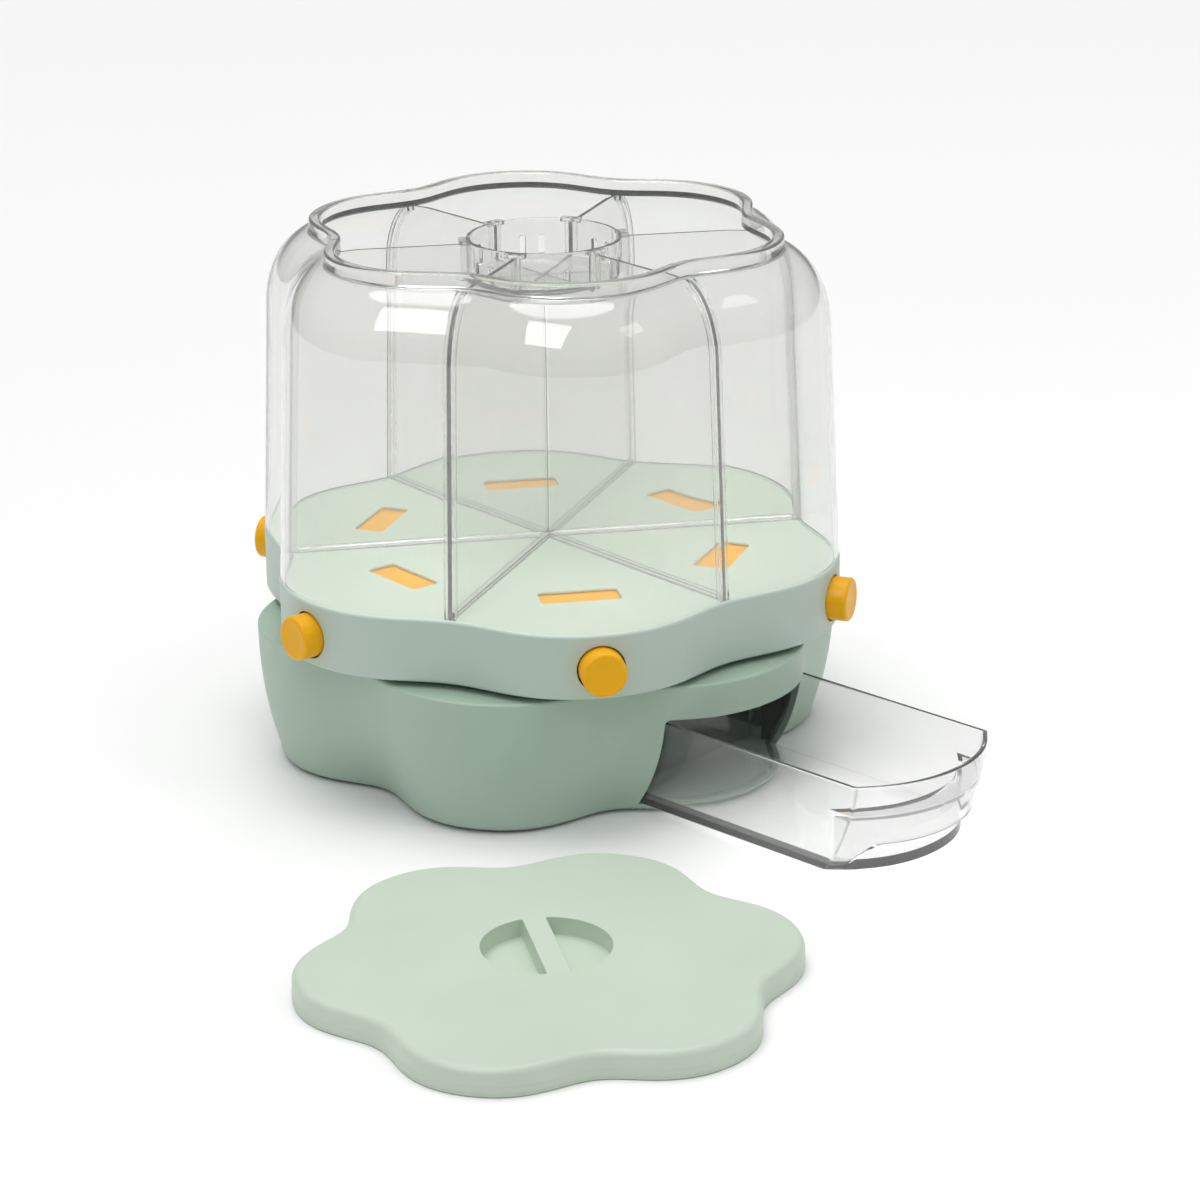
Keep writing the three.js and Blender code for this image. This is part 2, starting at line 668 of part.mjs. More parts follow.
function lid() {
  const inner = LID_MEAN - LID_WALL;
  const under = LID_THICK - LID_TOP_WALL;
  const edge = [0, 30, 60, 90].map((turn) => [
    LID_MEAN - LID_EDGE * (1 - Math.cos(turn * degrees)),
    LID_THICK - LID_EDGE * (1 - Math.sin(turn * degrees)),
    LID_LOBE,
  ]);
  const grooved = LID_MEAN - 1.6;
  const shell = lobedLathe([
    [0, under, 0],
    [inner - 1.5, under, LID_LOBE],
    [inner, under - 1.5, LID_LOBE],
    [inner, 0, LID_LOBE],
    [LID_MEAN, 0, LID_LOBE],
    [LID_MEAN, SEAL_LOW - SEAT_GAP, LID_LOBE],
    [grooved, SEAL_LOW - SEAT_GAP, LID_LOBE],
    [grooved, SEAL_HIGH + SEAT_GAP, LID_LOBE],
    [LID_MEAN, SEAL_HIGH + SEAT_GAP, LID_LOBE],
    ...edge,
    [0, LID_THICK, 0],
  ]);
  const well = cylinder(HANDLE_RADIUS + 2.2, LID_THICK - HANDLE_DEPTH - 2, LID_THICK - 1, 32);
  const pocket = cylinder(HANDLE_RADIUS, LID_THICK - HANDLE_DEPTH, LID_THICK + 1, 32);
  well.translate(0, HANDLE_OFFSET, 0);
  pocket.translate(0, HANDLE_OFFSET, 0);
  const bar = block(-HANDLE_BAR / 2, HANDLE_BAR / 2, -60, 60, 0, LID_THICK + 2);
  return without(shell.add(solid(well)), without(solid(pocket), solid(bar)));
}

function lidSeal() {
  const inner = LID_MEAN - 1.6 + SEAT_GAP;
  const outer = LID_MEAN + 0.1;
  return lobedLathe([
    [inner, SEAL_LOW, LID_LOBE],
    [outer, SEAL_LOW + 0.4, LID_LOBE],
    [outer, SEAL_HIGH - 0.4, LID_LOBE],
    [inner, SEAL_HIGH, LID_LOBE],
    [inner, SEAL_LOW, LID_LOBE],
  ]);
}

// ---- the assembly ----
const dispenser = new THREE.Group();

const base = new THREE.Group();
base.rotation.z = -90 * degrees;
base.add(mesh("base_shell", baseShell(), sage));
base.add(mesh("base_plate", basePlate(), sage));
footPlaces().forEach(([x, y], i) => {
  const name = i < LOBES ? "foot_" + (i + 1) : "foot_centre";
  const pad = mesh(name, solid(cylinder(FOOT_RADIUS, 0, BASE_LIFT + 0.7, 16)), rubber);
  pad.position.set(x, y, 0);
  base.add(pad);
});
BASE_SCREW_ANGLES.forEach((angle, i) => {
  const one = mesh("base_screw_" + (i + 1), screw(BASE_LIFT, 12), steel);
  const turn = angle * degrees;
  one.position.set(BASE_SCREW_RADIUS * Math.cos(turn), BASE_SCREW_RADIUS * Math.sin(turn), 0);
  base.add(one);
});
const glideLow = BASE_TOP - 1 + SEAT_GAP;
const glide = ring(
  GLIDE_RADIUS - GLIDE_WIDTH / 2,
  GLIDE_RADIUS + GLIDE_WIDTH / 2,
  glideLow,
  TRAY_BOTTOM - SEAT_GAP,
);
base.add(mesh("glide_ring", glide, whiteNylon));
const washerLow = POST_TOP + SEAT_GAP;
const washerTop = washerLow + 1.5;
base.add(mesh("pivot_washer", ring(2.9, POST_RADIUS + 3.6, washerLow, washerTop, 24), steel));
const pivotScrew = joined(
  solid(cylinder(4.6, washerTop + SEAT_GAP, washerTop + 3, 16)),
  solid(cylinder(2.4, deckUnder - 3, washerTop + 1, 12)),
);
base.add(mesh("pivot_screw", pivotScrew, steel));
const slider = mesh("drawer", drawer(), clear());
slider.position.x = DRAWER_OUT;
base.add(slider);
dispenser.add(base);

const carousel = new THREE.Group();
carousel.rotation.z = (REST_TURN - 90) * degrees;
carousel.add(mesh("tray", tray(), sage));
carousel.add(mesh("tray_cover", trayCover(), paleSage));
carousel.add(mesh("container_shell", containerShell(), clear()));
carousel.add(mesh("divider", divider(), clear()));
carousel.add(mesh("desiccant_cup", desiccantCup(), clear()));
const buttonSolid = button();
const springSolid = returnSpring();
lobeAngles.forEach((angle, i) => {
  const push = mesh("button_" + (i + 1), buttonSolid, yellow);
  const spring = mesh("spring_" + (i + 1), springSolid, steel);
  push.rotation.z = angle;
  spring.rotation.z = angle;
  carousel.add(push, spring);
});
notchAngles.forEach((angle, i) => {
  const headLow = TRAY_BOTTOM + 0.6;
  const one = mesh("cover_screw_" + (i + 1), screw(headLow, TRAY_TOP - 1.2 - headLow), steel);
  one.position.set(COVER_SCREW_RADIUS * Math.cos(angle), COVER_SCREW_RADIUS * Math.sin(angle), 0);
  carousel.add(one);
});
dispenser.add(carousel);

const lidGroup = new THREE.Group();
lidGroup.position.set(...LID_PLACE, 0);
lidGroup.rotation.z = LID_TURN * degrees;
lidGroup.add(mesh("lid", lid(), paleSage));
lidGroup.add(mesh("lid_seal", lidSeal(), whiteNylon));
dispenser.add(lidGroup);

export default dispenser;
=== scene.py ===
"""The dispenser's looks: a finely modelled piece for each visible solid, in the row frame, in metres."""
import math

import bmesh
import bpy
import numpy as np
from mathutils import Matrix, Vector


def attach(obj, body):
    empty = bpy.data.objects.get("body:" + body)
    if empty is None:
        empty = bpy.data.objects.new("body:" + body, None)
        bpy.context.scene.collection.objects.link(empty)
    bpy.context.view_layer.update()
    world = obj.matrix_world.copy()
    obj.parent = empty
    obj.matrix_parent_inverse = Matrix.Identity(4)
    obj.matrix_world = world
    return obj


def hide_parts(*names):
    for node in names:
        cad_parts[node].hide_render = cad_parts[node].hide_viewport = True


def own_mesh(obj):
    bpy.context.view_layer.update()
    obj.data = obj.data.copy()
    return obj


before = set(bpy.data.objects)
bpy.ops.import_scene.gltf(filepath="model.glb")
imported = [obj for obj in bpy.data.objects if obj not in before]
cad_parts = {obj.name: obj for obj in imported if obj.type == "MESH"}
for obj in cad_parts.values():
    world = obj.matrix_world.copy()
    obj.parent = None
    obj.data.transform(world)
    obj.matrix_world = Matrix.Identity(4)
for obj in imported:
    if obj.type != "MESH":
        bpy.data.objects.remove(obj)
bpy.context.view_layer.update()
scene = bpy.context.scene

# ---- sizes in millimetres, as in the solids ----
MM = 0.001
LOBES = 6
LOBE_SHAPE = -0.13
STEPS = 288  # round a lobed outline
CLEARANCE = 0.4
SEAT_GAP = 0.3

BASE_TURN = -90.0
CAROUSEL_TURN = -65.7
LID_TURN = -34.0
LID_PLACE = (-194.6, -192.6)

BASE_LIFT, BASE_TOP, PLATE_TOP = 1.2, 65.5, 4.2
BASE_MEAN, BASE_LOBE = 132.0, 7.0
BASE_FOOT_MEAN, BASE_FOOT_LOBE = 119.0, 10.4
BASE_WALL, DECK_UNDER = 2.6, 62.5
BASE_EDGE, BASE_UNDERCUT, BASE_FOOT_ROUND = 1.2, 1.8, 4.2
BASE_SCREW_RADIUS = 97.0
BASE_SCREW_ANGLES = (38, 90, 142, 218, 270, 322)

DRAWER_HALF, DRAWER_TOP, DRAWER_BACK, DRAWER_WALL = 45.2, 47.4, -20.0, 2.2
DRAWER_OUT, DRAWER_BOTTOM = 107.0, 4.6
GRIP_DEPTH, GRIP_LIP, GRIP_CEILING, GRIP_HALF_TOP, GRIP_HALF_FOOT = 12.0, 18.5, 31.0, 33.0, 42.0
BEHIND_FRONT, PAST_FRONT = 95.0, 165.0

TRAY_BOTTOM, TRAY_TOP, TRAY_MEAN, TRAY_LOBE = 68.0, 97.5, 132.9, 7.1
SKIRT, TRAY_FLOOR, COVER = 3.0, 2.5, 1.2
COVER_UNDER = TRAY_TOP - COVER
SLOT_RADIUS, SLOT_DEPTH, SLOT_WIDTH = 85.0, 15.0, 36.0
PRESS, GATE_WINDOW = 8.0, 6.2
BUTTON_RADIUS, BUTTON_HEIGHT, BUTTON_STAND = 10.1, 82.0, 8.6
SHUTTER, STEM_RADIUS = 2.2, 2.8
SHUTTER_TOP = COVER_UNDER - CLEARANCE
SHUTTER_UNDER = SHUTTER_TOP - SHUTTER
TUBE_TOP = SHUTTER_UNDER - CLEARANCE
WINDOW_INNER = SLOT_RADIUS + SLOT_DEPTH / 2 + CLEARANCE
CHUTE_INNER = WINDOW_INNER - PRESS - 0.3
CHUTE_OUTER = WINDOW_INNER + GATE_WINDOW - PRESS + 0.3
CHUTE_WALL = 1.6
STEM_END = CHUTE_OUTER + CHUTE_WALL + 0.6 + PRESS
BRACKET_INNER, BRACKET = STEM_END + 1, 3.0
LOBE_RADIUS = TRAY_MEAN + TRAY_LOBE * (1 + LOBE_SHAPE)
EAR_OUTER = LOBE_RADIUS - SKIRT - 3
EAR_INNER = EAR_OUTER - 3.2
SPRING_RADIUS, SPRING_WIRE, SPRING_TURNS = 5.0, 0.6, 5

SHELL_WALL, SHELL_TOP, SHOULDER_START, SHELL_DRAFT = 2.2, 247.0, 205.0, 5.0
RIM_MEAN, RIM_LOBE, RIM_WIDTH, RIM_HEIGHT = 106.0, 6.9, 5.4, 5.5
BLADE, BLADE_TOP, BLADE_REACH, RIB, RIB_DEPTH = 2.0, 239.5, 86.0, 1.2, 3.0
BLADE_FOOT, BLADE_FOOT_HEIGHT = 5.0, 2.5
CUP_RADIUS, CUP_WALL, CUP_DEPTH, CUP_SLOT = 35.5, 1.8, 17.0, 3.0
CUP_RIB, CUP_RIB_DEPTH = 1.4, 2.6

LID_MEAN, LID_LOBE, LID_THICK, LID_WALL, LID_TOP_WALL, LID_EDGE = 98.3, 7.4, 12.0, 3.5, 2.5, 3.6
HANDLE_RADIUS, HANDLE_BAR, HANDLE_DEPTH, HANDLE_OFFSET = 27.0, 10.0, 8.3, 8.0

POST_RADIUS, POST_TOP, HUB_WALL = 14.0, 80.0, 4.4
GLIDE_RADIUS, GLIDE_WIDTH = 63.0, 6.0
COVER_SCREW_RADIUS, BOSS_RADIUS = 112.0, 4.5

lobe_angles = [i * math.tau / LOBES for i in range(LOBES)]
notch_angles = [angle + math.pi / LOBES for angle in lobe_angles]


# ---- mesh building ----
def wave(angle):
    return np.cos(LOBES * angle) + LOBE_SHAPE * np.cos(2 * LOBES * angle)


def shade(obj, degrees=34):
    """Smooth shading that keeps large flat faces flat beside their small rounded edges."""
    mesh = obj.data
    mesh.polygons.foreach_set("use_smooth", [True] * len(mesh.polygons))
    mesh.set_sharp_from_angle(angle=math.radians(degrees))
    modifier = obj.modifiers.new("normals", "WEIGHTED_NORMAL")
    modifier.keep_sharp = True
    modifier.weight = 100
    modifier.thresh = 0.0001
    bpy.context.view_layer.update()
    apply_modifiers(obj)


def make(name, points, faces):
    """A mesh object from points in millimetres, its faces turned outwards."""
    mesh = bpy.data.meshes.new(name)
    mesh.from_pydata((np.asarray(points, float) * MM).tolist(), [], faces)
    work = bmesh.new()
    work.from_mesh(mesh)
    bmesh.ops.recalc_face_normals(work, faces=work.faces)
    work.to_mesh(mesh)
    work.free()
    obj = bpy.data.objects.new(name, mesh)
    scene.collection.objects.link(obj)
    return obj


def loft(name, loops, closed=False):
    """Skins loops of equal length. The ends are capped, or joined to each other if closed."""
    count = len(loops[0])
    points = [tuple(p) for loop in loops for p in loop]
    faces = []
    rows = len(loops) if closed else len(loops) - 1
    for r in range(rows):
        a, b = r * count, ((r + 1) % len(loops)) * count
        for i in range(count):
            j = (i + 1) % count
            faces.append((a + i, a + j, b + j, b + i))
    if not closed:
        faces.append(tuple(range(count)))
        faces.append(tuple(range((len(loops) - 1) * count, len(loops) * count)))
    return make(name, points, faces)


def lobed(name, profile, closed=False, steps=STEPS):
    """A lathe whose radii swell into lobes. Each profile point is (mean radius, height, lobe depth)."""
    angle = np.arange(steps) * math.tau / steps
    swell = wave(angle)
    loops = []
    for mean, height, depth in profile:
        radius = mean + depth * swell
        loops.append(np.stack([radius * np.cos(angle), radius * np.sin(angle), np.full(steps, height)], 1))
    return loft(name, loops, closed)


def round_bar(name, profile, steps=64):
    """A plain lathe: each profile point is (radius, height)."""
    return lobed(name, [(radius, height, 0) for radius, height in profile], steps=steps)


def rod(radius, low, high, x=0.0, y=0.0, steps=48):
    obj = round_bar("rod", [(radius, low), (radius, high)], steps)
    return moved(obj, Matrix.Translation((x * MM, y * MM, 0)))


def box(x0, x1, y0, y1, z0, z1):
    loop = [(x0, y0), (x1, y0), (x1, y1), (x0, y1)]
    return prism("box", loop, z0, z1)


def prism(name, outline, low, high):
    return loft(name, [[(x, y, low) for x, y in outline], [(x, y, high) for x, y in outline]])


def moved(obj, matrix):
    obj.data.transform(matrix)
    return obj


def turned(obj, angle):
    return moved(obj, Matrix.Rotation(angle, 4, "Z"))


def copied(obj):
    other = obj.copy()
    other.data = obj.data.copy()
    scene.collection.objects.link(other)
    return other


def each(obj, angles):
    """Copies of a piece turned to each angle. The first piece itself is used up."""
    made = [turned(copied(obj), angle) for angle in angles]
    bpy.data.objects.remove(obj)
    return made


def soft(points, cut, steps=5):
    """Rounds each corner of a closed outline. Each curve starts and ends at most cut away from the corner."""
    points = [np.asarray(p, float) for p in points]
    cuts = cut if hasattr(cut, "__len__") else [cut] * len(points)
    rounded = []
    for i, corner in enumerate(points):
        before, after = points[i - 1] - corner, points[(i + 1) % len(points)] - corner
        room = min(cuts[i], np.linalg.norm(before) * 0.49, np.linalg.norm(after) * 0.49)
        if room <= 0:
            rounded.append(tuple(corner))
            continue
        start = corner + before / np.linalg.norm(before) * room
        end = corner + after / np.linalg.norm(after) * room
        for t in np.linspace(0, 1, steps + 1):
            rounded.append(tuple(start * (1 - t) ** 2 + corner * 2 * t * (1 - t) + end * t * t))
    return rounded


def apply_modifiers(obj):
    graph = bpy.context.evaluated_depsgraph_get()
    mesh = bpy.data.meshes.new_from_object(obj.evaluated_get(graph))
    obj.modifiers.clear()
    obj.data = mesh
    return obj


def combine(obj, *steps):
    """Joins, cuts or intersects obj with other closed pieces, which are used up."""
    others = []
    for operation, pieces in steps:
        for piece in pieces if isinstance(pieces, list) else [pieces]:
            modifier = obj.modifiers.new("combine", "BOOLEAN")
            modifier.operation = operation
            modifier.solver = "MANIFOLD"
            modifier.object = piece
            others.append(piece)
    bpy.context.view_layer.update()
    apply_modifiers(obj)
    for piece in others:
        bpy.data.objects.remove(piece)
    return obj


def eased(obj, width, angle=40, segments=2):
    """Rounds the sharp edges of a simple piece."""
    modifier = obj.modifiers.new("edge", "BEVEL")
    modifier.width = width * MM
    modifier.segments = segments
    modifier.limit_method = "ANGLE"
    modifier.angle_limit = math.radians(angle)
    bpy.context.view_layer.update()
    return apply_modifiers(obj)


def quarter(steps=5):
    """Shares of a quarter round, from its start to its end: (sideways, upwards)."""
    return [(1 - math.cos(t), math.sin(t)) for t in np.linspace(0, math.pi / 2, steps + 1)]


# ---- materials: all procedural ----
def nodes_of(name):
    material = bpy.data.materials.new(name)
    material.use_nodes = True
    tree = material.node_tree
    return material, tree, tree.nodes["Principled BSDF"]


def noise(tree, scale, detail=3.0, roughness=0.5):
    coordinates = tree.nodes.new("ShaderNodeTexCoord")
    texture = tree.nodes.new("ShaderNodeTexNoise")
    texture.inputs["Scale"].default_value = scale
    texture.inputs["Detail"].default_value = detail
    texture.inputs["Roughness"].default_value = roughness
    tree.links.new(coordinates.outputs["Object"], texture.inputs["Vector"])
    return texture.outputs["Fac"]


def spread(tree, value, low, high):
    ranged = tree.nodes.new("ShaderNodeMapRange")
    ranged.inputs["From Min"].default_value = 0.3
    ranged.inputs["From Max"].default_value = 0.7
    ranged.inputs["To Min"].default_value = low
    ranged.inputs["To Max"].default_value = high
    tree.links.new(value, ranged.inputs["Value"])
    return ranged.outputs["Result"]


def bump(tree, shader, height, strength, distance):
    node = tree.nodes.new("ShaderNodeBump")
    node.inputs["Strength"].default_value = strength
    node.inputs["Distance"].default_value = distance
    tree.links.new(height, node.inputs["Height"])
    tree.links.new(node.outputs["Normal"], shader.inputs["Normal"])


def moulded(name, color, roughness, tone=0.03, grain=0.12, specular=0.5):
    """Moulded plastic: slow changes of tone from the moulding, and a fine spark-eroded grain."""
    material, tree, shader = nodes_of(name)
    ramp = tree.nodes.new("ShaderNodeValToRGB")
    ramp.color_ramp.elements[0].position = 0.3
    ramp.color_ramp.elements[1].position = 0.7
    ramp.color_ramp.elements[0].color = (*[c * (1 - tone) for c in color], 1)
    ramp.color_ramp.elements[1].color = (*[min(1, c * (1 + tone)) for c in color], 1)
    tree.links.new(noise(tree, 14, 2), ramp.inputs["Fac"])
    tree.links.new(ramp.outputs["Color"], shader.inputs["Base Color"])
    uneven = spread(tree, noise(tree, 60, 4), roughness - 0.05, roughness + 0.05)
    tree.links.new(uneven, shader.inputs["Roughness"])
    bump(tree, shader, noise(tree, 2600, 2), grain, 0.00006)
    shader.inputs["IOR"].default_value = 1.5
    shader.inputs["Specular IOR Level"].default_value = specular
    return material


def clear_plastic(name, tint, roughness, density, haze):
    """Clear polished plastic with faint flow waves and a little haze. Lamps shine through it."""
    material, tree, shader = nodes_of(name)
    shader.inputs["Base Color"].default_value = (*tint, 1)
    shader.inputs["Transmission Weight"].default_value = 1 - haze
    shader.inputs["IOR"].default_value = 1.49
    uneven = spread(tree, noise(tree, 35, 3), roughness * 0.5, roughness * 1.6)
    tree.links.new(uneven, shader.inputs["Roughness"])
    bump(tree, shader, noise(tree, 22, 1), 0.05, 0.0004)
    passing = tree.nodes.new("ShaderNodeBsdfTransparent")
    passing.inputs["Color"].default_value = (0.93, 0.935, 0.93, 1)
    rays = tree.nodes.new("ShaderNodeLightPath")
    mix = tree.nodes.new("ShaderNodeMixShader")
    output = tree.nodes["Material Output"]
    tree.links.new(rays.outputs["Is Shadow Ray"], mix.inputs["Fac"])
    tree.links.new(shader.outputs["BSDF"], mix.inputs[1])
    tree.links.new(passing.outputs["BSDF"], mix.inputs[2])
    tree.links.new(mix.outputs["Shader"], output.inputs["Surface"])
    depth = tree.nodes.new("ShaderNodeVolumeAbsorption")
    depth.inputs["Color"].default_value = (0.5, 0.52, 0.5, 1)
    depth.inputs["Density"].default_value = density
    tree.links.new(depth.outputs["Volume"], output.inputs["Volume"])
    return material


def metal(name, color, roughness):
    material, tree, shader = nodes_of(name)
    shader.inputs["Base Color"].default_value = (*color, 1)
    shader.inputs["Metallic"].default_value = 1.0
    uneven = spread(tree, noise(tree, 900, 4), roughness - 0.08, roughness + 0.1)
    tree.links.new(uneven, shader.inputs["Roughness"])
    bump(tree, shader, noise(tree, 3000, 2), 0.2, 0.00004)
    return material


sage = moulded("sage_moulding", (0.475, 0.575, 0.51), 0.45)
# The base's sage is darkened: painted shade for the dimmer light on its low sides near the floor.
sage_painted_shade = moulded("base_moulding_painted_shade", (0.385, 0.505, 0.41), 0.45)
pale_sage = moulded("pale_moulding", (0.555, 0.65, 0.54), 0.42)
yellow = moulded("yellow_moulding", (0.87, 0.425, 0.001), 0.36, 0.04, 0.06, 0.25)
clear = clear_plastic("clear_moulding", (0.94, 0.94, 0.93), 0.02, 16, 0.05)
drawer_clear = clear_plastic("drawer_moulding", (0.9, 0.9, 0.9), 0.02, 2, 0.03)
rubber = moulded("foot_rubber", (0.2, 0.22, 0.21), 0.75, 0.08, 0.5)
silicone = moulded("seal_silicone", (0.555, 0.65, 0.54), 0.55, 0.03, 0.2)
nylon = moulded("glide_nylon", (0.78, 0.77, 0.73), 0.38, 0.02, 0.1)
steel = metal("plated_steel", (0.62, 0.63, 0.64), 0.3)


def finish(obj, name, material, body, node, matrix, smooth=34):
    """Names, shades, places and binds a finished piece, which stands for one solid."""
    moved(obj, matrix)
    obj.name = name
    obj.data.name = name
    shade(obj, smooth)
    obj.data.materials.clear()
    obj.data.materials.append(material)
    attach(obj, body)
    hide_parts(node)
    return obj


base_frame = Matrix.Rotation(math.radians(BASE_TURN), 4, "Z")
carousel_frame = Matrix.Rotation(math.radians(CAROUSEL_TURN), 4, "Z")
lid_frame = Matrix.Translation((LID_PLACE[0] * MM, LID_PLACE[1] * MM, 0)) @ Matrix.Rotation(
    math.radians(LID_TURN), 4, "Z"
)


# ---- base ----
def base_side(share, inset):
    """(mean radius, height, lobe depth) of the base's side at a share of its height."""
    tuck = (1 - share) ** 2.3
    mean = BASE_MEAN - (BASE_MEAN - BASE_FOOT_MEAN) * tuck - inset
    height = BASE_LIFT + (BASE_TOP - BASE_LIFT) * share
    return mean, height, BASE_LOBE + (BASE_FOOT_LOBE - BASE_LOBE) * tuck


def base_outside(inset=0.0):
    """The filled outside of the base, its bottom and top edges rounded."""
    rise, sweep = BASE_TOP - BASE_LIFT, math.radians(72)
    start = base_side(0, inset)[0] - BASE_UNDERCUT
    side = [base_side(share, inset) for share in np.linspace(BASE_FOOT_ROUND / rise, 1 - BASE_EDGE / rise, 26)]
    reach = side[0][0] - start
    profile = [(start + reach * math.sin(t) / math.sin(sweep),
                BASE_LIFT + BASE_FOOT_ROUND * (1 - math.cos(t)) / (1 - math.cos(sweep)), BASE_FOOT_LOBE)
               for t in np.linspace(0, sweep, 7)[:-1]]
    profile += side
    profile += [(BASE_MEAN - inset - BASE_EDGE * x, BASE_TOP - BASE_EDGE + BASE_EDGE * y, BASE_LOBE)
                for x, y in quarter()[1:]]
    return lobed("base", profile)


def base_shell():
    inside = [(base_side(0, BASE_WALL)[0] - 0.6, BASE_LIFT - 1, BASE_FOOT_LOBE)]
    inside += [base_side(share, BASE_WALL) for share in np.linspace(0.02, 0.9, 20)]
    inside += [(BASE_MEAN - BASE_WALL - 1.5 * x, DECK_UNDER - 1.5 + 1.5 * y, BASE_LOBE) for x, y in quarter()]
    half = DRAWER_HALF + 1.4
    low, high = PLATE_TOP + 0.2, DRAWER_TOP + 2.2
    mouth = soft([(-half, low), (half, low), (half, high), (-half, high)], [0, 0, 2.5, 2.5])
    opening = loft("opening", [[(x, y, z) for y, z in mouth] for x in (60, 160)])
    out_half = SLOT_WIDTH / 2 + 1.5
    out_in, out_out = CHUTE_INNER - 3, CHUTE_OUTER + 3
    funnel = box(out_in - CHUTE_WALL, out_out + CHUTE_WALL, -out_half - CHUTE_WALL, out_half + CHUTE_WALL,
                 DRAWER_TOP + 2.8, DECK_UNDER + 0.5)
    outlet = box(out_in, out_out, -out_half, out_half, DRAWER_TOP, BASE_TOP + 1)
    post = round_bar("post", [(POST_RADIUS + 1.5, DECK_UNDER + 1), (POST_RADIUS + 1.5, BASE_TOP - 0.1),
                              (POST_RADIUS, BASE_TOP + 0.3), (POST_RADIUS, POST_TOP - 0.6),
                              (POST_RADIUS - 0.6, POST_TOP)])
    groove = combine(rod(GLIDE_RADIUS + GLIDE_WIDTH / 2 + SEAT_GAP, BASE_TOP - 1, BASE_TOP + 1, steps=128),
                     ("DIFFERENCE", rod(GLIDE_RADIUS - GLIDE_WIDTH / 2 - SEAT_GAP,
                                        BASE_TOP - 2, BASE_TOP + 2, steps=128)))
    at = [(BASE_SCREW_RADIUS * math.cos(math.radians(a)), BASE_SCREW_RADIUS * math.sin(math.radians(a)))
          for a in BASE_SCREW_ANGLES]
    bosses = [rod(BOSS_RADIUS, PLATE_TOP + 0.2, DECK_UNDER + 0.5, x, y, 32) for x, y in at]
    holes = [rod(1.7, PLATE_TOP - 1, PLATE_TOP + 13, x, y, 20) for x, y in at]
    obj = combine(base_outside(), ("DIFFERENCE", [lobed("hollow", inside), opening]),
                  ("UNION", [post, rod(7, DECK_UNDER - 10, DECK_UNDER + 1), funnel, *bosses]),
                  ("DIFFERENCE", [rod(2.7, DECK_UNDER - 5, POST_TOP + 1), outlet, groove, *holes]))
    return finish(obj, "base_shell_fine", sage_painted_shade, "base", "base_shell", base_frame)


# ---- drawer, in the base's frame ----
def front_reach(y, height, inset):
    """How far out the base's side is, at a place across the drawer."""
    share = min(max((height - BASE_LIFT) / (BASE_TOP - BASE_LIFT), 0), 1)
    mean, _, depth = base_side(share, inset)
    x = mean
    for _ in range(30):
        radius = mean + depth * float(wave(math.atan2(y, x)))
        x = math.sqrt(radius * radius - y * y)
    return x


def drawer_loop(height, inset, corner, follow=None):
    """The drawer's outline at a height, with its front along the base's side."""
    half, back = DRAWER_HALF - inset, DRAWER_BACK + inset
    follow = height if follow is None else follow
    across = np.linspace(-half, half, 45)
    front = [(front_reach(y, follow, inset), y) for y in across]
    key = [(back, -half), *front, (back, half)]
    rounded = soft_some(key, {0: corner, 1: corner, len(front): corner, len(key) - 1: corner})
    return [(x, y, height) for x, y in rounded]


def soft_some(points, corners, steps=6):
    """Rounds the named corners of a closed outline by sliding along its neighbours."""
    out = []
    points = [np.asarray(p, float) for p in points]
    for i, corner in enumerate(points):
        cut = corners.get(i, 0)
        before, after = points[i - 1] - corner, points[(i + 1) % len(points)] - corner
        room = min(cut, np.linalg.norm(before) * 0.9, np.linalg.norm(after) * 0.9)
        if room <= 0:
            out.append(tuple(corner))
            continue
        start = corner + before / np.linalg.norm(before) * room
        end = corner + after / np.linalg.norm(after) * room
        for t in np.linspace(0, 1, steps + 1):
            out.append(tuple(start * (1 - t) ** 2 + corner * 2 * t * (1 - t) + end * t * t))
    return out


def grip_back(grow):
    """All that lies behind the back wall of the finger space."""
    wall = BASE_MEAN - GRIP_DEPTH - grow
    return lobed("behind", [(wall, -10, BASE_LOBE), (wall, DRAWER_TOP + 10, BASE_LOBE)])


def grip_space(grow):
    """The finger space between the drawer's front and the wall behind it, grown by a wall."""
    half = DRAWER_HALF - DRAWER_WALL + grow
    space = eased(box(BEHIND_FRONT, PAST_FRONT, -half, half, -5, GRIP_CEILING + grow), 0.8)
    return combine(space, ("INTERSECT", base_outside(DRAWER_WALL - grow)), ("DIFFERENCE", grip_back(grow)))


def grip_notch():
    """The notch through the drawer's front, wider at its foot."""
    slope = (GRIP_HALF_FOOT - GRIP_HALF_TOP) / (GRIP_LIP - DRAWER_BOTTOM)
    foot = GRIP_HALF_FOOT + slope * DRAWER_BOTTOM
    arch = soft([(-foot, 0), (foot, 0), (GRIP_HALF_TOP, GRIP_LIP), (-GRIP_HALF_TOP, GRIP_LIP)], [0, 0, 3, 3])
    notch = loft("notch", [[(x, y, z) for y, z in arch] for x in (BEHIND_FRONT, PAST_FRONT)])
    return combine(notch, ("DIFFERENCE", grip_back(0)))


